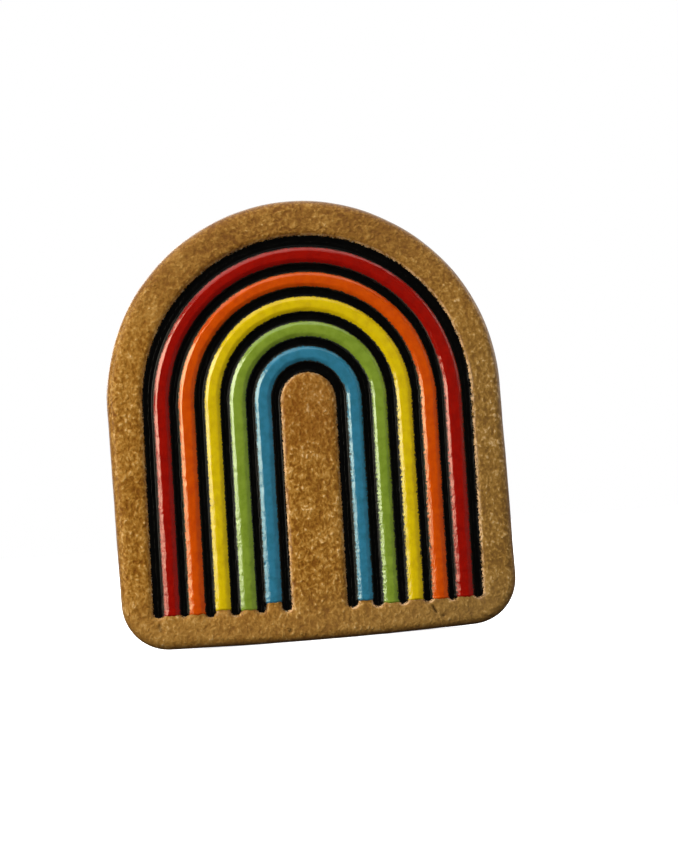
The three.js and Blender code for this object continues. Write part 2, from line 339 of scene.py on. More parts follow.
# For each line from the inner one out: its distance from the middle, its half width on the legs and over the
# arch, how far it comes in over the arch, and how much it widens or shifts on each leg.
LINES = [FIRST_LINE + LINE_PITCH * i for i in range(LINE_COUNT)]
LEG_HALF = (0.365, 0.36, 0.36, 0.36, 0.33, 0.385)
ARCH_HALF = (0.44, 0.39, 0.40, 0.40, 0.385, 0.485)
ARCH_DROP = (0.12, 0.14, 0.16, 0.20, 0.28, 0.22)
LEFT_LEG_SPREAD = (0.0, 0.005, 0.015, 0.04, 0.04, 0.045)
RIGHT_LEG_SHIFT = (0.03, 0.03, -0.01, -0.04, -0.10, -0.05)
RIGHT_LEG_SPREAD = (0.05, 0.05, 0.03, 0.0, 0.0, 0.0)
# How much wider each stripe's bevels are on the right leg, or steeper where it is negative.
RIGHT_LEG_BEVEL = (-0.03, -0.03, 0.025, 0.02, -0.06)

# Where each line ends below the arch's centre, on the left and on the right leg.
LINE_FEET = (
    (-16.75, -16.75),
    (-16.75, -16.80),
    (-16.85, -16.70),
    (-16.85, -16.65),
    (-16.70, -16.60),
    (-16.70, -16.55),
)


def line_edges(i, out):
    """Inner and outer radius of black line i along the path. The brush pressed harder over the arch."""
    arch = on_arch(out) ** 0.7
    left_leg = smooth(0.5, 0.95, -out[..., 0])
    right_leg = smooth(0.85, 1.0, out[..., 0])
    shift = RIGHT_LEG_SHIFT[i] * right_leg - 0.6 * LEFT_LEG_SPREAD[i] * left_leg
    centre = LINES[i] - ARCH_DROP[i] * arch + shift
    half = LEG_HALF[i] + (ARCH_HALF[i] - LEG_HALF[i]) * arch
    half = half + LEFT_LEG_SPREAD[i] * left_leg + RIGHT_LEG_SPREAD[i] * right_leg
    return centre - half, centre + half


def past_line(i, r, z, out):
    """Distance from line i's middle, counted round its foot as well, and the line's half width there."""
    inner, outer = line_edges(i, out)
    middle, half = (inner + outer) / 2, (outer - inner) / 2
    foot = np.where(out[..., 0] < 0, *LINE_FEET[i]) + half
    below = np.where(z < 0, np.maximum(foot - z, 0), 0)
    return np.hypot(r - middle, below), half


def off_black(r, z, out):
    """Distance outside the nearest black line. Inside a line it is negative."""
    return np.min([np.subtract(*past_line(i, r, z, out)) for i in range(LINE_COUNT)], axis=0)


def channel_height(r, z, out):
    """The leather's front, as pressed: round-ended channels with rounded shoulders, and low ridges."""
    between_lines = smooth(LINES[0], LINES[0] + 0.3, r) * smooth(LINES[-1], LINES[-1] - 0.3, r)
    height = RIDGE_TOP * between_lines * smooth(LEG_END - 0.1, LEG_END + 0.5, z)
    height = height - UNDER_STRIPES * (between_lines * smooth(LEG_END + 0.7, LEG_END + 1.0, z))
    for i in range(LINE_COUNT):
        distance, half = past_line(i, r, z, out)
        beside_land = (i == 0) & (r < LINES[0]) | (i == LINE_COUNT - 1) & (r > LINES[-1])
        past, steepness = (np.where(beside_land, *pair) for pair in zip(LAND_SHOULDER, RIDGE_SHOULDER))
        height = height - CHANNEL_DEPTH / (1 + (distance / (half + past)) ** steepness)
    return height


def crown_height(across, flat=CROWN_FLAT):
    """Top of a coloured stripe, nearly flat with bevelled sides. across runs from -1 to 1."""
    side = np.clip((np.abs(across) - flat) / (1 - flat), 0, None)
    return CROWN - (CROWN - CROWN_EDGE) * side ** 1.2 - 0.015 * across ** 2


def stripe_edges(i, out):
    """Inner and outer radius of stripe i, which runs between lines i and i + 1."""
    return line_edges(i, out)[1], line_edges(i + 1, out)[0]


def across_band(r, edges):
    """Where r lies between the two edges of a line or a stripe, from -1 to 1."""
    inner, outer = (edge[:, None] for edge in edges)
    return (r - (inner + outer) / 2) / ((outer - inner) / 2)


# ---- Materials ----

class Nodes:
    """A material's node tree, with short calls to add and link nodes."""

    def __init__(self, name):
        self.material = bpy.data.materials.new(name)
        self.material.use_nodes = True
        self.tree = self.material.node_tree
        self.tree.nodes.clear()
        output = self.tree.nodes.new("ShaderNodeOutputMaterial")
        self.shader = self.tree.nodes.new("ShaderNodeBsdfPrincipled")
        self.tree.links.new(self.shader.outputs[0], output.inputs["Surface"])
        coordinates = self.tree.nodes.new("ShaderNodeTexCoord")
        self.mm = self.add("ShaderNodeVectorMath", operation="SCALE", Scale=1 / MM)
        self.tree.links.new(coordinates.outputs["Object"], self.mm.inputs[0])

    def add(self, kind, inputs=None, **settings):
        """A node with its properties, its constant sockets and its linked sockets set."""
        node = self.tree.nodes.new(kind)
        for key, value in settings.items():
            if key in node.inputs:
                node.inputs[key].default_value = value
            else:
                setattr(node, key, value)
        for key, value in (inputs or {}).items():
            self.put(node.inputs[key], value)
        return node

    def put(self, socket, value):
        """Links a node's first output, or a socket, to a socket, or sets its constant."""
        if isinstance(value, bpy.types.Node):
            self.tree.links.new(value.outputs[0], socket)
        elif isinstance(value, bpy.types.NodeSocket):
            self.tree.links.new(value, socket)
        else:
            socket.default_value = value

    def set(self, **sockets):
        """Sets the shader's own sockets. Underscores stand for spaces."""
        for key, value in sockets.items():
            self.put(self.shader.inputs[key.replace("_", " ")], value)

    def stretched(self, factors, vector=None):
        """A vector, or else object coordinates in millimetres, scaled on each axis."""
        return self.add("ShaderNodeVectorMath", {0: vector or self.mm, 1: factors}, operation="MULTIPLY")

    def across_and_up(self):
        """Places across and up on the object, in millimetres."""
        split = self.add("ShaderNodeSeparateXYZ", {"Vector": self.mm})
        return split.outputs["X"], split.outputs["Z"]

    def noise(self, scale, detail=3.0, roughness=0.55, vector=None, distortion=0.0):
        inputs = {"Vector": vector or self.mm}
        node = self.add("ShaderNodeTexNoise", inputs, Scale=scale, Detail=detail, Roughness=roughness)
        node.inputs["Distortion"].default_value = distortion
        return node

    def cells(self, scale, vector=None):
        return self.add("ShaderNodeTexVoronoi", {"Vector": vector or self.mm}, feature="F1", Scale=scale)

    def attribute(self, name):
        return self.add("ShaderNodeAttribute", attribute_name=name).outputs["Fac"]

    def math(self, operation, a, b=0.0):
        return self.add("ShaderNodeMath", {0: a, 1: b}, operation=operation)

    def plus(self, a, b):
        return self.math("ADD", a, b)

    def minus(self, a, b):
        return self.math("SUBTRACT", a, b)

    def times(self, a, b):
        return self.math("MULTIPLY", a, b)

    def remap(self, value, low, high, to_low=0.0, to_high=1.0):
        """A smooth change from to_low to to_high as value goes from low to high."""
        node = self.add("ShaderNodeMapRange", {"Value": value}, interpolation_type="SMOOTHSTEP")
        for key, number in (("From Min", low), ("From Max", high), ("To Min", to_low), ("To Max", to_high)):
            node.inputs[key].default_value = number
        return node

    def ramp(self, value, stops):
        """A colour for each value, through stops of place and colour."""
        node = self.add("ShaderNodeValToRGB", {"Fac": value})
        elements = node.color_ramp.elements
        while len(elements) < len(stops):
            elements.new(0.5)
        for element, (place, colour) in zip(elements, stops):
            element.position = place
            element.color = colour
        return node.outputs["Color"]

    def mix_number(self, factor, a, b):
        node = self.add("ShaderNodeMix", {2: a, 3: b}, data_type="FLOAT")
        self.put(node.inputs[0], factor)
        return node.outputs[0]

    def mix(self, factor, a, b):
        node = self.add("ShaderNodeMix", data_type="RGBA")
        for socket, value in ((0, factor), (6, a), (7, b)):
            self.put(node.inputs[socket], value)
        return node.outputs[2]

    def lay_over(self, colour, layers):
        """A colour with others laid over it in turn. Each layer is its amount and its colour."""
        for amount, layer in layers:
            colour = self.mix(amount, colour, layer)
        return colour

    def black_edge(self, reach):
        """1 where black paint has crept over this surface. Its ragged edge is rougher on the right leg."""
        across, up = self.across_and_up()
        right_leg = self.times(self.remap(across, 0.0, 6.0), self.remap(up, 5.0, -1.0))
        rough = self.remap(right_leg, 0.0, 1.0, reach, reach * 1.8)
        ragged = self.times(self.minus(self.noise(5.5, 4.0, 0.75), 0.45), rough)
        return self.remap(self.minus(self.attribute("off_black"), ragged), 0.02, -0.02)

    def bump(self, height, distance, strength=1.0, under=None):
        inputs = {"Height": height}
        if under is not None:
            inputs["Normal"] = under
        return self.add("ShaderNodeBump", inputs, Strength=strength, Distance=distance * MM)


def srgb(red, green, blue):
    """A linear colour from screen values of 0 to 255."""
    def linear(value):
        value /= 255
        return value / 12.92 if value <= 0.04045 else ((value + 0.055) / 1.055) ** 2.4

    return (linear(red), linear(green), linear(blue), 1)


PAINTS = {
    "blue": (srgb(42, 110, 146), srgb(35, 99, 130)),
    "green": (srgb(115, 139, 46), srgb(103, 127, 36)),
    "yellow": (srgb(193, 170, 6), srgb(180, 156, 5)),
    "orange": (srgb(184, 70, 1), srgb(172, 60, 1)),
    "red": (srgb(136, 11, 2), srgb(124, 6, 1)),
    "black": ((0.0018, 0.0018, 0.0018, 1), (0.0010, 0.0010, 0.0012, 1)),
}

# The tint of each paint's highlights.
GLOSS = {
    "blue": (0.71, 0.85, 0.82, 1),
    "green": (0.90, 1.0, 0.90, 1),
    "yellow": (0.50, 0.54, 0.52, 1),
    "orange": (0.72, 0.74, 0.50, 1),
    "red": (0.95, 0.66, 0.59, 1),
}

# The leather's colour from its pits to its proudest pebbles: partly the grain's own colour, and partly
# painted shade in the pits and a painted highlight on the pebbles' tops.
LEATHER_TONES = (
    (0.00, srgb(106, 62, 4)),
    (0.22, srgb(126, 82, 18)),
    (0.50, srgb(149, 106, 41)),
    (0.68, srgb(163, 121, 58)),
    (0.82, srgb(178, 138, 80)),
    (1.00, srgb(214, 178, 134)),
)

# What lies over those tones on the front: a darker patch in the middle, painted shade towards the right
# and at the top, a greyer foot, a painted highlight beside the black lines, burnished edges darkened
# further by painted shade towards the bottom, painted glints beside the black paint, and painted shade
# in the nicks.
LEATHER_MARKS = {
    "middle_patch": srgb(122, 70, 10),
    "shaded": srgb(98, 86, 52),
    "painted_shade_top": srgb(96, 86, 68),
    "dull_foot": srgb(120, 100, 66),
    "painted_highlight": srgb(230, 188, 148),
    "edge": srgb(84, 52, 22),
    "painted_glint": srgb(176, 162, 140),
    "nick": srgb(38, 22, 8),
}


def leather_grain(n):
    """The pebbles' domes, their softer relief, and the leather's tone around 0."""
    wander = n.noise(1.6, 2.0).outputs["Color"]
    warp = n.add("ShaderNodeVectorMath", {0: wander}, operation="SCALE", Scale=0.4)
    place = n.add("ShaderNodeVectorMath", {0: n.mm, 1: warp}, operation="ADD")
    pebbles = n.cells(3.2, place)
    shade = n.add("ShaderNodeSeparateColor", {"Color": pebbles.outputs["Color"]})
    dome = n.remap(pebbles.outputs["Distance"], 0.66, 0.05)
    upright = n.stretched((1.0, 1.0, 0.7), place)
    lying = n.stretched((0.7, 1.0, 1.0), place)
    lie = n.attribute("lie")
    blobs, fine = (
        n.mix_number(lie, n.noise(scale, 2.0, 0.5, upright), n.noise(scale, 2.0, 0.5, lying))
        for scale in (2.9, 5.2)
    )
    grain = n.plus(n.times(blobs, 0.5), n.times(fine, 0.5))
    patchy = n.times(n.noise(0.45, 3.0, 0.6), 0.28)
    # A painted highlight: each pebble's dome is lighter in its middle, by a random amount.
    dome_highlight = n.times(n.times(dome, shade.outputs["Red"]), 0.12)
    tone = n.minus(n.plus(n.plus(grain, patchy), dome_highlight), 0.675)
    return dome, grain, tone


def leather_contrast(n, across, up):
    """How strongly the leather's tone varies: less at the top and the foot, and more on the far right."""
    changes = (
        n.remap(n.math("ABSOLUTE", across), 4.0, 8.0, 1.0, 0.86),
        n.remap(up, -13.0, -16.0, 1.0, 0.76),
        n.remap(across, 7.0, 13.0, 1.0, 1.4),
    )
    contrast = n.remap(up, 7.0, 15.0, 1.0, 0.8)
    for change in changes:
        contrast = n.times(contrast, change)
    return contrast


def tan_leather():
    """Fine-grained tooling leather: pebbles, blotches, burnished rims and edges, stains, painted shade and
    highlights.
    """
    n = Nodes("tan_leather")
    across, up = n.across_and_up()
    dome, grain, tone = leather_grain(n)
    # Painted shade: the tone is darker towards the top.
    darker_top = n.remap(up, 7.0, 15.0, 0.0, -0.05)
    tone = n.plus(n.times(tone, leather_contrast(n, across, up)), darker_top)

    # A darker, more orange patch round a spot in the middle of the front.
    middle_patch = n.add("ShaderNodeVectorMath", {0: n.mm, 1: (0.5, FRONT, 1.5)}, operation="DISTANCE")
    rim = n.times(n.attribute("rim"), n.remap(n.noise(1.3, 3.0, 0.6), 0.38, 0.62))
    # A painted highlight: a pale cream strip beside the black lines.
    painted_highlight = n.times(n.attribute("painted_highlight"), n.remap(n.noise(2.2, 3.0, 0.6), 0.38, 0.56))
    edge = n.attribute("edge")
    # Edges darker partly by their own burnish, partly by painted shade: more at the bottom, less at top and
    # left.
    burnish_and_shade = n.times(n.remap(up, 16.0, -16.0, 0.3, 0.85), n.remap(across, -15.0, -9.0, 0.4, 1.0))
    stain = n.black_edge(0.5)
    by_the_black = n.remap(n.attribute("off_black"), 0.22, 0.02)
    # Painted glints: pale specks on the leather just beside the black paint.
    painted_glint = n.times(n.remap(n.noise(5.0, 3.0, 0.6), 0.57, 0.65), by_the_black)
    marks = {
        "middle_patch": n.remap(middle_patch.outputs["Value"], 7.0, 1.0, 0.0, 0.42),
        "shaded": n.times(n.remap(across, -4.0, 15.0, 0.0, 0.42), n.remap(up, 13.0, 2.0, 0.3, 1.0)),
        # Painted shade: darker and greyer towards the top.
        "painted_shade_top": n.remap(up, 5.0, 14.0, 0.0, 0.15),
        "dull_foot": n.remap(up, -12.0, -17.0, 0.0, 0.25),
        "painted_highlight": n.times(painted_highlight, 0.65),
        "edge": n.times(edge, burnish_and_shade),
    }
    colour = n.ramp(n.remap(tone, -0.215, 0.215), LEATHER_TONES)
    colour = n.lay_over(colour, ((amount, LEATHER_MARKS[mark]) for mark, amount in marks.items()))
    colour = n.lay_over(colour, (
        (stain, PAINTS["black"][0]),
        (n.times(painted_glint, 0.6), LEATHER_MARKS["painted_glint"]),
        # Painted shade in the nicks' dents.
        (n.times(n.attribute("nick"), 0.7), LEATHER_MARKS["nick"]),
    ))

    smoother = n.math("MAXIMUM", rim, edge)
    coarse = n.bump(n.plus(n.times(dome, 0.4), n.times(grain, 1.6)), 0.07)
    n.put(coarse.inputs["Strength"], n.remap(smoother, 0.0, 1.0, 1.0, 0.3))
    fibre = n.bump(n.noise(12.0, 2.0, 0.6), 0.004, 1.0, coarse)
    roughness = n.remap(dome, 0.0, 1.0, 0.62, 0.45)
    n.set(Base_Color=colour, Roughness=n.mix_number(stain, roughness, 0.25), Normal=fibre)
    n.set(Coat_Weight=n.times(smoother, 0.5))
    n.shader.inputs["Coat Roughness"].default_value = 0.22
    n.shader.inputs["Specular IOR Level"].default_value = 0.14
    return n.material


def rear_leather():
    """The backing's smooth but unfinished side: fibres, pores and handling marks, with burnished edges."""
    n = Nodes("rear_leather")
    fibre = n.noise(6.0, 5.0, 0.7, n.stretched((1.0, 1.0, 0.45)), 0.6)
    mottle = n.noise(0.35, 4.0, 0.65)
    pores = n.cells(3.4).outputs["Distance"]
    colour = n.lay_over(srgb(120, 82, 44), (
        (n.remap(fibre, 0.3, 0.7), srgb(164, 122, 76)),
        (n.remap(mottle, 0.4, 0.65, 0.0, 0.6), srgb(128, 84, 42)),
        (n.remap(pores, 0.12, 0.04, 0.0, 0.5), srgb(84, 54, 28)),
        (n.times(n.attribute("edge"), 0.8), srgb(82, 50, 22)),
    ))
    bump = n.bump(n.plus(n.times(fibre, 0.7), n.times(pores, 0.4)), 0.06, 0.8)
    n.set(Base_Color=colour, Roughness=n.remap(fibre, 0.3, 0.7, 0.78, 0.6), Normal=bump)
    return n.material


def enamel(name, body, deep, gloss):
    """Brushed-on gloss paint with an orange-peel skin, and ragged, duller black crept over its edges."""
    n = Nodes(name)
    streak = n.noise(1.4, 3.0, 0.6)
    stain = n.black_edge(0.42)
    colour = n.lay_over(body, ((n.remap(streak, 0.35, 0.7), deep), (stain, PAINTS["black"][0])))
    _, up = n.across_and_up()
    lumpy = n.remap(up, 6.0, -10.0, 0.5, 1.0)
    peel = n.bump(n.noise(2.2, 2.0, 0.5), 0.05)
    skin = n.bump(n.noise(6.0, 3.0, 0.65), 0.026, 1.0, peel)
    for bumps in (peel, skin):
        n.put(bumps.inputs["Strength"], lumpy)
    roughness = n.mix_number(stain, n.remap(streak, 0.3, 0.7, 0.05, 0.09), 0.7)
    n.set(Base_Color=colour, Roughness=roughness, Normal=skin)
    n.shader.inputs["Specular IOR Level"].default_value = 0.75
    n.shader.inputs["Specular Tint"].default_value = gloss
    return n.material


def black_enamel():
    """Thick black paint, duller than the colours, with brush ripples and specks of dust."""
    n = Nodes("black_enamel")
    cloud = n.noise(1.2, 3.0, 0.6)
    colour = n.mix(n.remap(cloud, 0.3, 0.7), *PAINTS["black"])
    peel = n.bump(n.noise(1.8, 2.0, 0.5), 0.05, 0.8)
    skin = n.bump(n.noise(7.0, 3.0, 0.7), 0.012, 0.9, peel)
    wander = n.times(n.minus(n.noise(0.9, 3.0, 0.7), 0.5), 1.1)
    aside = n.math("ABSOLUTE", n.plus(n.attribute("across"), wander))
    broken = n.remap(n.noise(2.6, 3.0, 0.7), 0.42, 0.52)
    brushed = n.bump(n.times(n.remap(aside, 0.12, 0.02), broken), 0.026, 1.0, skin)
    n.set(Base_Color=colour, Roughness=n.remap(cloud, 0.35, 0.65, 0.09, 0.2), Normal=brushed)
    n.shader.inputs["Specular IOR Level"].default_value = 0.095
    return n.material


def plated_metal(name, tint, roughness, grain):
    """Plated metal with drawn or turned grain, faint tarnish and handling marks."""
    n = Nodes(name)
    brushed = n.noise(3.0, 4.0, 0.7, n.stretched(grain))
    cloud = n.noise(0.6, 3.0, 0.6)
    scratches = n.noise(9.0, 2.0, 0.7, n.stretched((0.3, 2.0, 0.5)), 0.6)
    worn = tuple(c * 0.82 for c in tint[:3]) + (1,)
    colour = n.mix(n.remap(cloud, 0.4, 0.7, 0.0, 0.5), tint, worn)
    rough = n.remap(cloud, 0.3, 0.7, roughness - 0.04, roughness + 0.08)
    rough = n.plus(rough, n.remap(scratches, 0.60, 0.75, 0.0, 0.08))
    n.set(Base_Color=colour, Roughness=rough, Normal=n.bump(brushed, 0.006, 0.6))
    n.shader.inputs["Metallic"].default_value = 1.0
    return n.material


LEATHER = tan_leather()
REAR_LEATHER = rear_leather()
ENAMELS = {colour: enamel(f"{colour}_enamel", *PAINTS[colour], GLOSS[colour]) for colour in STRIPES}
ENAMELS["black"] = black_enamel()
NICKEL = plated_metal("nickel_plate", (0.70, 0.68, 0.64, 1), 0.22, (1.0, 6.0, 1.0))
SPRING = plated_metal("spring_steel", (0.64, 0.64, 0.65, 1), 0.26, (8.0, 0.6, 0.6))


# ---- Leather ----

# Small dents near the bottom edge: across and up from the arch's centre, half length, half width and lean.
NICKS = (
    (-12.65, -17.4, 0.32, 0.09, 0.05),
    (9.05, -17.35, 0.42, 0.08, -0.35),
    (-2.6, -18.35, 0.14, 0.10, 0.8),
    (9.6, -18.0, 0.16, 0.07, 1.2),
)
NICK_DEPTH = 0.22


def nick_share(x, z):
    """How far the nicks' depth is reached at each place, from 0 to 1."""
    depth = np.zeros_like(x)
    for nick_x, nick_z, length, width, lean in NICKS:
        along = (z - nick_z) * math.cos(lean) + (x - nick_x) * math.sin(lean)
        across = (x - nick_x) * math.cos(lean) - (z - nick_z) * math.sin(lean)
        depth = np.maximum(depth, np.exp(-((along / length) ** 4) - (across / width) ** 2))
    return depth


def radius_rows():
    """Distances from the path's middle for the leather's rows: closer over shoulders and towards the edge."""
    shoulder, floor_half = 0.75, 0.18
    rows = [spaced(0, LINES[0] - shoulder, 0.14)]
    for i, line in enumerate(LINES):
        wider = 0.12 if i == LINE_COUNT - 1 else 0.0
        inner, outer = line - floor_half - wider, line + floor_half
        rows += [
            spaced(line - shoulder, inner, 0.075),
            spaced(inner, outer, 0.18),
            spaced(outer, line + shoulder, 0.075),
        ]
        if i < LINE_COUNT - 1:
            rows.append(spaced(line + shoulder, LINES[i + 1] - shoulder, 0.2))
    rim = HALF_WIDTH - RIM_WIDTH
    rows.append(spaced(LINES[-1] + shoulder, rim, 0.11))
    rows.append(rim + RIM_WIDTH * np.sin(np.linspace(0, math.pi / 2, 13)))
    return np.concatenate(rows)


def leg_rows():
    """Shares of the way down from the arch's centre to the bottom edge, from the bottom up."""
    rounding = LOWEST + RIM_WIDTH * (1 - np.sin(np.linspace(math.pi / 2, 0, 11)))
    upper = [
        spaced(LOWEST + RIM_WIDTH, LEG_END - 0.4, 0.11),
        spaced(LEG_END - 0.4, LEG_END + 0.9, 0.08),
        spaced(LEG_END + 0.9, 0, 0.15),
    ]
    return np.concatenate([rounding[:-1], *upper]) / LOWEST


def pressed_level(r, x, z, distance, stations):
    """Height of the leather's front at each place: channels, a rounded edge, an uneven land and nicks."""
    drop = np.clip(1 - distance / FRONT_ROUND, 0, 1)
    rounding = FRONT_ROUND * (1 - np.sqrt(np.clip(1 - drop * drop, 0, 1)))
    land = 0.020 * ripple(x, z, 0.22, 1.5) + 0.012 * ripple(x, z, 1.1, 4.2)
    pebble = 0.010 * ripple(x, z, 3.1, 9.4)
    return channel_height(r, z, stations) - rounding + land + pebble - NICK_DEPTH * nick_share(x, z)


def front_marks(r, x, z, distance, stations):
    """What the front's material goes by, at each point."""
    clear = off_black(r, z, stations)
    in_panel = r < LINES[0]
    facing_window = np.clip(np.where(in_panel, -1, 1) * stations[..., 0], 0, 1)
    return {
        "rim": smooth(0.32, 0.12, clear),
        # Where the painted highlight lies: beside the black lines, mostly on the shoulders that face the
        # window light.
        "painted_highlight": smooth(0.20, 0.10, clear) * (0.2 + 0.8 * facing_window),
        "edge": smooth(0.5, 0.0, distance),
        "off_black": clear,
        "nick": nick_share(x, z),
        "lie": np.where(in_panel, 0, on_arch(stations)) * np.ones_like(r),
    }


def leather_front():
    """The embossed front leather as one closed mesh."""
    radii = radius_rows()
    base, out, _ = path(leg_rows(), ARCH_STEPS)
    count, rows = len(base), len(radii)
    r = np.broadcast_to(radii, (count, rows))
    height = base[:, 1:2] * outline_floor(radii)[None]
    x = out[:, 0:1] * r
    z = np.where(base[:, 1:2] > 0, height, 0) + out[:, 1:2] * r
    distance = np.maximum(edge_distance(x, z), 0)
    stations = out[:, None, :]
    level = pressed_level(r, x, z, distance, stations)

    swell = wobble(x, z) * (1 - smooth(0, 2.5, distance))
    length = np.maximum(np.hypot(x, z), 1e-6)
    bx, bz = to_badge(x * (1 + swell / length), z * (1 + swell / length), artwork_share(x, z))
    points = np.stack([bx, FRONT - level, bz], axis=-1).reshape(-1, 3)

    # The outline's points in order: up the left side, over, down the right side and back along the bottom.
    side = [j * rows + rows - 1 for j in range(count)]
    bottom_right = [(count - 1) * rows + i for i in range(rows - 2, 0, -1)]
    bottom_left = list(range(rows - 1))
    loop = side + bottom_right + bottom_left
    marks = front_marks(r, x, z, distance, stations)
    return close_behind("leather_front", points, quads(count, rows, flip=True), loop, marks)


def close_behind(name, points, faces, loop, attributes):
    """Adds the wall, and a flat back at the joint with two pockets for the pads."""
    back = JOINT - 0.02
    walls = wall_rings(points[loop], back)
    points = list(points)
    attributes = {key: list(np.asarray(values).ravel()) for key, values in attributes.items()}

    def add(new_points, edge):
        """Numbers of new points, which lie well away from any black line. Their other marks are 0."""
        start = len(points)
        points.extend(new_points)
        marks = {"edge": edge, "off_black": CLEAR_OF_BLACK}
        for key, values in attributes.items():
            values.extend([marks.get(key, 0.0)] * len(new_points))
        return list(range(start, start + len(new_points)))

    rings = [loop] + [add(ring, 1.0) for ring in walls]
    for last, new in zip(rings, rings[1:]):
        faces += [f[::-1] for f in loop_strip(last, new)]

    pads = [f"post_pad_{side}" for side in SIDES]
    holes = [circle(centre_of(pad), half_width(pad) + POCKET_CLEARANCE, POCKET_POINTS) for pad in pads]
    flat, triangles = fill(walls[-1][:, [0, 2]], holes)
    hole_numbers = add(stood_up(flat[len(loop):], back), 0.0)
    numbers = rings[-1] + hole_numbers
    faces += [tuple(numbers[v] for v in f)[::-1] for f in triangles]
    for k, hole in enumerate(holes):
        mouth = hole_numbers[POCKET_POINTS * k: POCKET_POINTS * (k + 1)]
        bottom = add(stood_up(hole, back - POCKET_DEPTH), 0.0)
        faces += loop_strip(mouth, bottom)
        faces.append(tuple(bottom))
    return weld(make_object(name, np.array(points), faces, attributes))


def wall_rings(rim, back):
    """Rings of points from the front's rim down a slightly bulging wall, and one drawn in at the back."""
    centre = np.array([0, 0, (TOP + BOTTOM) / 2])
    rings = []
    for share in (0.35, 0.7, 1.0):
        ring = rim.copy()
        ring[:, 1] += (back - 0.06 - ring[:, 1]) * share
        uneven = ripple(ring[:, 0] + ring[:, 2], ring[:, 1], 0.8, 2.2)
        bulge = 0.03 * math.sin(math.pi * share) + 0.02 * uneven
        away = ring - centre
        away[:, 1] = 0
        ring += away / np.linalg.norm(away, axis=1)[:, None] * bulge[:, None]
        rings.append(ring)
    inner = rim + (centre - rim) * 0.006
    inner[:, 1] = back
    return rings + [inner]


def badge_loop(inset):
    """The badge's outline, drawn in by inset, anticlockwise seen from the front."""
    arch_steps, leg_steps = 220, 90
    angles = np.linspace(0, math.pi, arch_steps + 1)
    radius = HALF_WIDTH - inset
    arch = np.column_stack([radius * np.cos(angles), radius * np.sin(angles)])
    leg = np.linspace(0, CORNER_Z, leg_steps + 1)[1:]
    left = np.column_stack([np.full(len(leg), -radius), leg])
    turn = np.linspace(0, math.pi / 2, 25)[1:]
    corner = np.column_stack([
        -CORNER_X - (CORNER - inset) * np.cos(turn),
        CORNER_Z - (CORNER - inset) * np.sin(turn),
    ])
    half_floor = np.linspace(-CORNER_X, 0, leg_steps + 1)[1:]
    floor = np.column_stack([half_floor, outline_floor(np.abs(half_floor)) + inset])
    left_side = np.vstack([left, corner, floor])
    right_side = left_side[:-1][::-1] * (-1, 1)
    loop = np.vstack([arch, left_side, right_side])
    swell = wobble(loop[:, 0], loop[:, 1])
    loop = loop * (1 + swell / np.hypot(*loop.T))[:, None]
    return loop + (0, ARCH_Z)


def leather_rear():
    """The backing: a softened rear edge, a seam beside the front leather, and a hole for each post."""
    profile = [(0.10, JOINT), (0.03, JOINT + 0.07), (0.0, JOINT + 0.18), (0.0, BACK - REAR_ROUND)]
    for angle in np.linspace(0, math.pi / 2, 7)[1:]:
        profile.append((REAR_ROUND * (1 - math.cos(angle)), BACK - REAR_ROUND * (1 - math.sin(angle))))
    loops = [badge_loop(inset) for inset, _ in profile]
    points = np.vstack([stood_up(loop, y) for loop, (_, y) in zip(loops, profile)])
    count = len(loops[0])
    faces = numbered_rings(len(profile), count)
    edge = np.ones(len(points))

    holes = [circle(centre_of(f"post_{side}"), HOLE_RADIUS, HOLE_POINTS) for side in SIDES]
    caps = (
        (fill(loops[0], holes), JOINT, 0, 1),
        (fill(loops[-1], holes, 0.55), BACK, len(points) - count, -1),
    )
    rims = []
    for (flat, triangles), y, start, order in caps:
        extra = flat[count:]
        level = rear_level(extra) if order < 0 else 0
        numbers = list(range(start, start + count)) + list(range(len(points), len(points) + len(extra)))
        points = np.vstack([points, stood_up(extra, y + level)])
        edge = np.concatenate([edge, np.zeros(len(extra))])
        faces += [tuple(numbers[v] for v in f)[::order] for f in triangles]
        rims.append(numbers[count:])
    for start in range(0, HOLE_POINTS * len(holes), HOLE_POINTS):
        faces += loop_strip(*(rim[start: start + HOLE_POINTS] for rim in rims))
    return weld(make_object("leather_rear", points, faces, {"edge": edge}))


def rear_level(flat):
    """How far the backing's rear lies below its plane: slight hollows, and dimples round the posts."""
    level = 0.018 * ripple(flat[:, 0], flat[:, 1], 0.3, 6.6)
    for side in SIDES:
        centre = centre_of(f"post_{side}")
        away = np.hypot(flat[:, 0] - centre[0], flat[:, 1] - centre[1])
        level -= 0.10 * np.exp(-((away - 0.55) / 0.45) ** 2)
    return np.minimum(level, 0)


# ---- Paint ----

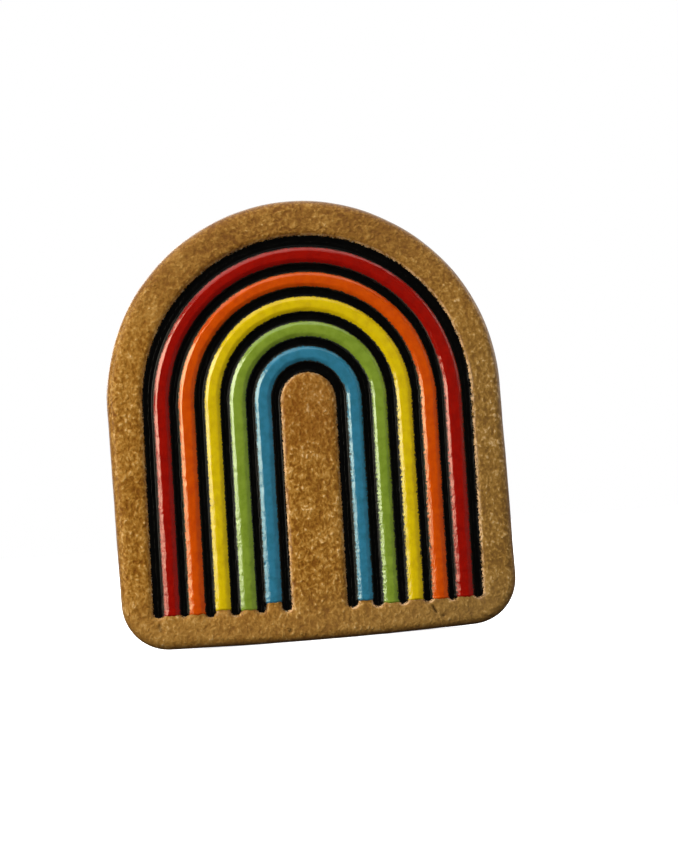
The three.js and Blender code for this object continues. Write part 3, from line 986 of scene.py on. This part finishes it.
def film(name, legs, arch_steps, edges, surface, columns):
    """A closed skin of paint along the path. edges gives its two radii, and surface its height."""
    base, out, along = path(legs, arch_steps)
    inner, outer = edges(base, out, along)
    across = np.sin(np.linspace(-math.pi / 2, math.pi / 2, columns))
    middle, half = (inner + outer) / 2, (outer - inner) / 2
    r = middle[:, None] + half[:, None] * across[None]
    x = base[:, 0:1] + out[:, 0:1] * r
    z = base[:, 1:2] + out[:, 1:2] * r
    height = surface(r, out, x, z)
    edge_drop = np.where(np.abs(across) > 0.999, 0.02, 0.0)
    bx, bz = to_badge(x, z, 1.0)
    top, under = (
        np.stack([bx, FRONT - height + depth, bz], axis=-1).reshape(-1, 3)
        for depth in (edge_drop, UNDERSIDE)
    )
    count = len(base)
    first = [j * columns for j in range(count)]
    foot = [(count - 1) * columns + i for i in range(1, columns)]
    second = [j * columns + columns - 1 for j in range(count - 2, -1, -1)]
    start = list(range(columns - 2, 0, -1))
    loop = first + foot + second + start
    faces = quads(count, columns, flip=True) + quads(count, columns, offset=len(top))
    faces += loop_strip(loop, [v + len(top) for v in loop])
    clear = off_black(r, z, out[:, None, :])
    attributes = {"off_black": np.tile(clear.ravel(), 2), "across": np.tile(across, 2 * count)}
    return weld(make_object(name, np.vstack([top, under]), faces, attributes), FINE_WELD)


def leg_stations(end):
    """Leg stations from a stripe's foot to the arch, closer together at the foot."""
    return np.concatenate([spaced(end, end + 0.5, 0.035), spaced(end + 0.5, 0, 0.12)])


# Where each stripe ends below the arch's centre, on the left and on the right leg.
STRIPE_FEET = {
    "blue": (-16.05, -16.30),
    "green": (-16.55, -16.65),
    "yellow": (-16.40, -16.50),
    "orange": (-16.65, -16.55),
    "red": (-16.65, -16.50),
}
LOWEST_FEET = [min(STRIPE_FEET[colour]) for colour in STRIPES]


def coloured_stripe(i):
    """Enamel on the ridge between two black lines: a rounded crown whose edges run under the black."""
    colour = STRIPES[i]

    def edges(base, out, along):
        inner, outer = stripe_edges(i, out)
        uneven = 0.02 * ripple(along, along * 0, 0.9, 20.0 + i)
        return inner - 2 * CREEP + uneven, outer + 2 * CREEP + uneven

    def surface(r, out, x, z):
        across = across_band(r, stripe_edges(i, out))
        flat = CROWN_FLAT + 0.16 * (smooth(-13, 0, z) - 0.5)
        flat = flat - 0.05 * smooth(0.0, 0.5, -out[:, 0:1]) * smooth(0, 1.5, z)
        flat = flat - RIGHT_LEG_BEVEL[i] * smooth(0.8, 1.0, out[:, 0:1])
        flat = flat + 0.10 * ripple(x, z, 0.7, 30.0 + i) + 0.10 * ripple(x, z, 2.2, 35.0 + i)
        height = crown_height(np.clip(across, -1.3, 1.3), flat) + 0.010 * ripple(x, z, 1.4, 40.0 + i)
        foot = z - ragged_foot(r, STRIPE_FEET[colour], out, i)
        return height - 0.10 * smooth(0.14, 0.0, foot) - 0.3 * smooth(0.02, -0.1, foot)

    arch_steps = int(40 + 14 * LINES[i])
    return film(f"enamel_{colour}", leg_stations(LOWEST_FEET[i]), arch_steps, edges, surface, 25)


def ragged_foot(r, feet, out, seed):
    """Where a stripe's paint ends on each leg, a little unevenly."""
    end = np.where(out[:, 0:1] < 0, *feet)
    side = np.broadcast_to(5 * out[:, 0:1], r.shape)
    return end + 0.10 * ripple(r, side, 2.0, 11.0 + seed) + 0.06 * ripple(r, side, 5.0, 21.0 + seed)


def black_line(i):
    """Black enamel in channel i, dished and with round feet. Its edges lie over the paint and leather."""
    feet = LINE_FEET[i]

    def edges(base, out, along):
        inner, outer = line_edges(i, out)
        middle, half = (inner + outer) / 2, (outer - inner) / 2
        foot = np.where(out[:, 0] < 0, *feet)
        past = np.where(base[:, 1] < 0, np.clip((base[:, 1] - foot) / half, 0, 1), 1)
        rounding = np.sqrt(1 - (1 - past) ** 2)
        uneven = 0.018 * ripple(along, along * 0, 1.2, 50.0 + i)
        half = np.maximum((half - CREEP) * rounding, 0.004)
        return middle - half + uneven * rounding, middle + half + uneven * rounding

    def surface(r, out, x, z):
        across = across_band(r, line_edges(i, out))
        dish = PAINT_FLOOR + PAINT_BANK * np.abs(np.clip(across, -1, 1)) ** 3
        rough = 0.010 * ripple(x, z, 1.1, 33.0 + i) + 0.006 * ripple(x, z, 3.0, 44.0 + i)
        return np.maximum(dish + rough, under_paint(r, out, z) + FILM)

    arch_steps = int(60 + 16 * LINES[i])
    return film(f"black_line_{i + 1}", leg_stations(min(feet)), arch_steps, edges, surface, 15)


def under_paint(r, out, z):
    """The higher of the leather and the coloured enamel at each place, which black paint lies over."""
    height = channel_height(r, z, out[:, None, :])
    for i, foot in enumerate(LOWEST_FEET):
        across = across_band(r, stripe_edges(i, out))
        on_stripe = (np.abs(across) < 1.2) & (z > foot)
        height = np.where(on_stripe, np.maximum(height, crown_height(across)), height)
    return height


# ---- Posts and clutches ----

def lathe(name, profile, segments, centre):
    """A solid of revolution along Y. The profile's ends lie on the axis, or it closes on itself."""
    profile = np.asarray(profile, float)
    closed = np.allclose(profile[0], profile[-1])
    if closed:
        profile = profile[:-1]
    rings = [stood_up(circle(centre, radius, segments), y) for radius, y in profile]
    faces = numbered_rings(len(rings), segments)
    if closed:
        last = (len(rings) - 1) * segments
        faces += loop_strip(range(last, last + segments), range(segments))
    return weld(make_object(name, np.vstack(rings), faces))


def rounded(points, radius, steps=4):
    """An open or closed profile with its inner corners rounded off."""
    points = [Vector(p) for p in points]
    closed = (points[0] - points[-1]).length < 1e-9
    if closed:
        points = points[:-1]
    made = []
    count = len(points)
    for k, corner in enumerate(points):
        if not closed and k in (0, count - 1):
            made.append(corner)
            continue
        before, after = points[k - 1] - corner, points[(k + 1) % count] - corner
        reach = min(radius, before.length * 0.45, after.length * 0.45)
        start, end = corner + before.normalized() * reach, corner + after.normalized() * reach
        for t in np.linspace(0, 1, steps + 1):
            made.append(start.lerp(corner, t).lerp(corner.lerp(end, t), t))
    if closed:
        made.append(made[0])
    return [tuple(p) for p in made]


def post(side):
    """A pointed post with its flat head, grip groove and ground tip."""
    node = f"post_{side}"
    low, high = box_mm(node)
    head, tip = half_width(node), high.y
    groove = SHANK_RADIUS - 0.13
    # Radius and depth at each corner, from the head's face to the point.
    profile = [
        (0, low.y),
        (head, low.y),
        (head, low.y + 0.2),
        (SHANK_RADIUS, low.y + 0.2),
        (SHANK_RADIUS, 6.95),
        (groove, 7.08),
        (groove, 7.32),
        (SHANK_RADIUS, 7.45),
        (SHANK_RADIUS, tip - 0.95),
        (0.09, tip - 0.04),
        (0, tip),
    ]
    return lathe(f"pin_post_{side}", rounded(profile, 0.09), 48, centre_of(node))


def clutch_plate(side):
    """A stamped plate with a raised boss, a turned ring, a rolled rim and two hems."""
    node = f"clutch_plate_{side}"
    low, high = box_mm(node)
    centre = centre_of(f"post_{side}")
    radius, base = half_width(node), low.y
    bore, sheet, rise = 0.65, 0.35, 0.25
    # Radius and depth at each corner: out over the face towards the badge, round the rim and back.
    profile = [
        (bore, base + rise),
        (2.3, base + rise),
        (2.7, base),
        (3.6, base),
        (3.75, base + 0.05),
        (4.1, base + 0.05),
        (4.25, base),
        (radius - 0.5, base),
        (radius, base + 0.16),
        (radius, base + 0.62),
        (radius - 0.2, base + 0.78),
        (radius - 0.46, base + 0.66),
        (radius - 0.55, base + sheet),
        (4.3, base + sheet),
        (4.15, base + sheet + 0.06),
        (3.7, base + sheet + 0.06),
        (3.55, base + sheet),
        (2.75, base + sheet),
        (2.35, base + sheet + rise),
        (bore, base + sheet + rise),
        (bore, base + rise),
    ]
    plate = lathe(f"plate_{side}", rounded(profile, 0.12, 3), 96, centre)
    for sign in (-1, 1):
        union(plate, clutch_hem(side, sign, centre, base, high.y))
    plate.name = f"butterfly_plate_{side}"
    return plate


def clutch_hem(side, sign, centre, base, top):
    """One hem, folded up from the plate and in over the spring strips, with blunted ends."""
    half_strip, gap, sheet, half_length = 2.1, 0.08, 0.3, 1.9
    inner = half_strip + gap
    corners = [
        (inner, base + 0.12),
        (inner + sheet, base + 0.12),
        (inner + sheet, top),
        (inner - 0.7, top),
        (inner - 0.7, top - sheet),
        (inner, top - sheet),
        (inner, base + 0.12),
    ]
    section = np.asarray(rounded(corners, 0.14, 3)[:-1])
    middle = np.mean(section, axis=0)
    blunt = middle + (section - middle) * 0.97
    near_end = half_length - 0.08
    rings = ((-half_length, blunt), (-near_end, section), (near_end, section), (half_length, blunt))
    points = [(centre[0] + sign * x, y, centre[1] + z) for z, ring in rings for x, y in ring]
    count = len(section)
    faces = numbered_rings(len(rings), count)
    faces.append(tuple(range(count)))
    faces.append(tuple(range(3 * count, 4 * count)))
    return weld(make_object(f"hem_{side}_{sign}", points, faces))


def union(target, tool):
    """Joins tool's solid into target's."""
    modifier = target.modifiers.new("join", "BOOLEAN")
    modifier.operation = "UNION"
    modifier.solver = "EXACT"
    modifier.object = tool
    graph = bpy.context.evaluated_depsgraph_get()
    mesh = bpy.data.meshes.new_from_object(target.evaluated_get(graph))
    target.modifiers.clear()
    old = target.data
    target.data = mesh
    bpy.data.meshes.remove(old)
    bpy.data.objects.remove(tool)
    mesh.shade_smooth()


def strip_curve(foot_y, reach, wing_top):
    """The spring strip's middle line, seen from the side: a straight foot, a bend and a curved wing."""
    bend = 0.55
    kappa = bend * 0.45
    bend_start, bend_end = (STRIP_TURN - bend, foot_y), (STRIP_TURN, foot_y + bend)
    lip = (reach - 0.55, wing_top - 0.35)
    stretches = (
        (bend_start, (STRIP_TURN - kappa, foot_y), (STRIP_TURN, foot_y + kappa), bend_end, 10),
        (bend_end, (STRIP_TURN, foot_y + 2.9), (STRIP_TURN + 0.4, wing_top - 1.6), lip, 24),
        (lip, (reach - 0.42, wing_top - 0.12), (reach - 0.3, wing_top), (reach + 0.08, wing_top), 8),
    )
    curve = [Vector((-STRIP_END, foot_y)), Vector(bend_start)]
    for *handles, steps in stretches:
        curve += interpolate_bezier(*map(Vector, handles), steps)[1:]
    return np.array(curve)


def strip_blank(total, half_wing):
    """Points and triangles of the strip cut out flat, with its slot for the post."""
    half_foot, corner, slot_radius, step = 2.08, 1.5, 0.6, 0.22
    outline = [(0, -half_foot), (WING_START, -half_foot)]
    for t in np.linspace(0, 1, 9)[1:]:
        flare = (half_wing - half_foot) * (3 * t * t - 2 * t ** 3)
        outline.append((WING_START + 1.6 * t, -half_foot - flare))
    for a in np.linspace(0, math.pi / 2, 9):
        outline.append((total - corner + corner * math.sin(a), -half_wing + corner * (1 - math.cos(a))))
    outline += [(s, -t) for s, t in outline[::-1]]
    half_turn = np.linspace(-math.pi / 2, math.pi / 2, 13)
    end = [(slot_radius * math.cos(a), slot_radius * math.sin(a)) for a in half_turn]
    slot = [(STRIP_END + 0.5 + s, t) for s, t in end] + [(STRIP_END - s, -t) for s, t in end]
    return fill(dense(outline, step), [slot[::-1]], step)


def clutch_jaw(side, which):
    """A jaw of spring strip: a slotted foot under the hems, a bend, and a ribbed wing with a lip."""
    node = f"clutch_jaw_{which}_{side}"
    low, high = box_mm(node)
    centre = centre_of(f"post_{side}")
    sign = 1 if which == "upper" else -1
    reach = (high.z - centre[1]) if sign > 0 else (centre[1] - low.z)
    line = strip_curve(low.y + 0.14, reach, high.y - 0.14)
    length = np.concatenate([[0], np.cumsum(np.hypot(*np.diff(line, axis=0).T))])
    tangent = np.gradient(line, length, axis=0)
    tangent /= np.linalg.norm(tangent, axis=1)[:, None]
    total = length[-1]
    flat, triangles = strip_blank(total, half_width(node))

    # The blank is bent along the line, and a rib stands up along the middle of the wing.
    s, t = flat.T
    place, along = (
        np.stack([np.interp(s, length, values[:, k]) for k in (0, 1)], axis=1)
        for values in (line, tangent)
    )
    along /= np.linalg.norm(along, axis=1)[:, None]
    normal = np.column_stack([-along[:, 1], along[:, 0]])
    rib = 0.11 * smooth(0.55, 0.2, np.abs(t)) * smooth(WING_START + 0.5, WING_START + 1.3, s)
    rib = rib * smooth(total - 0.9, total - 1.7, s)
    place = place - normal * rib[:, None]
    points = np.column_stack([centre[0] + t, place[:, 1], centre[1] + sign * place[:, 0]])
    obj = weld(make_object(f"butterfly_wing_{which}_{side}", points, triangles))
    thick = obj.modifiers.new("sheet", "SOLIDIFY")
    thick.thickness = STRIP * MM
    thick.offset = 0.0
    soft = obj.modifiers.new("edges", "BEVEL")
    soft.width = 0.06 * MM
    soft.segments = 2
    soft.limit_method = "ANGLE"
    soft.angle_limit = math.radians(50)
    return obj


def dense(points, step):
    """A closed outline with extra points along its long sides."""
    points = np.asarray(points, float)
    made = []
    for a, b in zip(points, np.roll(points, -1, axis=0)):
        gap = math.hypot(*(b - a))
        if gap > 1e-9:
            count = max(1, round(gap / step))
            made += [a + (b - a) * k / count for k in range(count)]
    return np.array(made)


# ---- Assembly ----

def fit_piece(obj, body, node, material):
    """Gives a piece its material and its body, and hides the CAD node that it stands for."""
    obj.data.materials.clear()
    obj.data.materials.append(material)
    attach(obj, body)
    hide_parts(node)


fit_piece(leather_front(), "badge", "leather_face", LEATHER)
fit_piece(leather_rear(), "badge", "leather_backing", REAR_LEATHER)
for index in range(LINE_COUNT):
    fit_piece(black_line(index), "badge", f"channel_line_{index + 1}", ENAMELS["black"])
for index, colour in enumerate(STRIPES):
    fit_piece(coloured_stripe(index), "badge", f"stripe_{colour}", ENAMELS[colour])
for side in SIDES:
    fit_piece(post(side), "badge", f"post_{side}", NICKEL)
    fit_piece(clutch_plate(side), f"clutch_{side}", f"clutch_plate_{side}", NICKEL)
    for which in ("upper", "lower"):
        body = f"clutch_{side}_{which}_jaw"
        fit_piece(clutch_jaw(side, which), body, f"clutch_jaw_{which}_{side}", SPRING)
    pad = frame["nodes"][f"post_pad_{side}"]
    for material_slot in pad.material_slots:
        material_slot.material = NICKEL


# ---- Stage ----

def ground():
    """A plain white floor under the badge, which doesn't show in the paint's gloss."""
    bpy.ops.mesh.primitive_circle_add(vertices=96, radius=4, fill_type="NGON", location=(0, 0, BOTTOM * MM))
    obj = bpy.context.object
    obj.name = "floor"
    n = Nodes("white_floor")
    n.set(Base_Color=(0.9, 0.9, 0.9, 1), Roughness=0.9)
    n.shader.inputs["Specular IOR Level"].default_value = 0.0
    n.shader.inputs["Emission Color"].default_value = (1, 1, 1, 1)
    distance = n.add("ShaderNodeVectorMath", {0: n.mm}, operation="LENGTH").outputs["Value"]
    n.set(Emission_Strength=n.remap(distance, 50.0, 220.0, 0.85, 1.2))
    obj.data.materials.append(n.material)
    obj.visible_glossy = False
    obj.visible_diffuse = False
    obj.visible_shadow = False


def softbox(name, place, size, radiance, tint, in_gloss):
    """A rectangular light, in millimetres, facing the badge."""
    data = bpy.data.lights.new(name, "AREA")
    data.shape = "RECTANGLE"
    data.size, data.size_y = size[0] * MM, size[1] * MM
    data.energy = radiance * math.pi * data.size * data.size_y
    data.color = tint
    obj = bpy.data.objects.new(name, data)
    obj.location = Vector(place) * MM
    obj.rotation_mode = "QUATERNION"
    obj.rotation_quaternion = (-obj.location).to_track_quat("-Z", "Y")
    obj.visible_camera = False
    obj.visible_glossy = in_gloss
    bpy.context.scene.collection.objects.link(obj)


def world():
    """Dim grey surroundings, seen as white behind the badge."""
    made = bpy.data.worlds.new("studio")
    made.use_nodes = True
    tree = made.node_tree
    tree.nodes.clear()
    output = tree.nodes.new("ShaderNodeOutputWorld")
    mixed = tree.nodes.new("ShaderNodeMixShader")
    ray = tree.nodes.new("ShaderNodeLightPath")
    tree.links.new(ray.outputs["Is Camera Ray"], mixed.inputs[0])
    unseen, seen = ((0.9, 0.95, 1.0, 1), 0.04), ((1, 1, 1, 1), 1.0)
    for socket, (colour, strength) in enumerate((unseen, seen), start=1):
        background = tree.nodes.new("ShaderNodeBackground")
        background.inputs["Color"].default_value = colour
        background.inputs["Strength"].default_value = strength
        tree.links.new(background.outputs[0], mixed.inputs[socket])
    tree.links.new(mixed.outputs[0], output.inputs["Surface"])
    bpy.context.scene.world = made


def camera():
    """A long lens a hand's width away, a little left of and below the badge, rolled as the badge lies."""
    distance, lens = 160.0, 85.7
    yaw, pitch, roll = (math.radians(a) for a in (-5.38, 2.97, -4.57))
    target = Vector((2.445, FRONT, -0.615))
    right = Vector((math.cos(yaw), math.sin(yaw), 0))
    ahead = Vector((-math.sin(yaw), math.cos(yaw), 0))
    up = Vector((0, 0, 1)) * math.cos(pitch) - ahead * math.sin(pitch)
    ahead = ahead * math.cos(pitch) + Vector((0, 0, 1)) * math.sin(pitch)
    rolled_right = right * math.cos(roll) + up * math.sin(roll)
    rolled_up = up * math.cos(roll) - right * math.sin(roll)
    data = bpy.data.cameras.new("camera")
    data.lens = lens
    data.sensor_width = 36
    data.clip_start, data.clip_end = 0.01, 10
    obj = bpy.data.objects.new("camera", data)
    turn = Matrix((rolled_right, rolled_up, -ahead)).transposed().to_4x4()
    obj.matrix_world = Matrix.Translation((target - ahead * distance) * MM) @ turn
    bpy.context.scene.collection.objects.link(obj)
    bpy.context.scene.camera = obj


# Each light's place, size, radiance, tint, and whether it shows in shiny surfaces.
WARM, WHITE = (1.0, 0.93, 0.74), (1, 1, 1)
LIGHTS = {
    "window": ((-300, -173, 105), (200, 262), 10.8, WARM, True),
    "front_fill": ((130, -380, 120), (320, 300), 3.3, WARM, False),
    "side_glow": ((300, -200, 40), (260, 300), 0.15, WHITE, True),
    "top_glow": ((-60, -210, 330), (420, 190), 1.1, WHITE, True),
    "overhead": ((0, 300, 900), (1800, 1500), 1.6, WHITE, True),
    "rear": ((-160, 320, 160), (260, 240), 4.0, WHITE, True),
    "rear_wall": ((0, 520, 170), (1900, 700), 0.55, WHITE, True),
    "right_side": ((330, 70, 130), (240, 240), 3.0, WHITE, True),
}

ground()
world()
for name, settings in LIGHTS.items():
    softbox(name, *settings)
bpy.context.scene.view_settings.view_transform = "Standard"
camera()
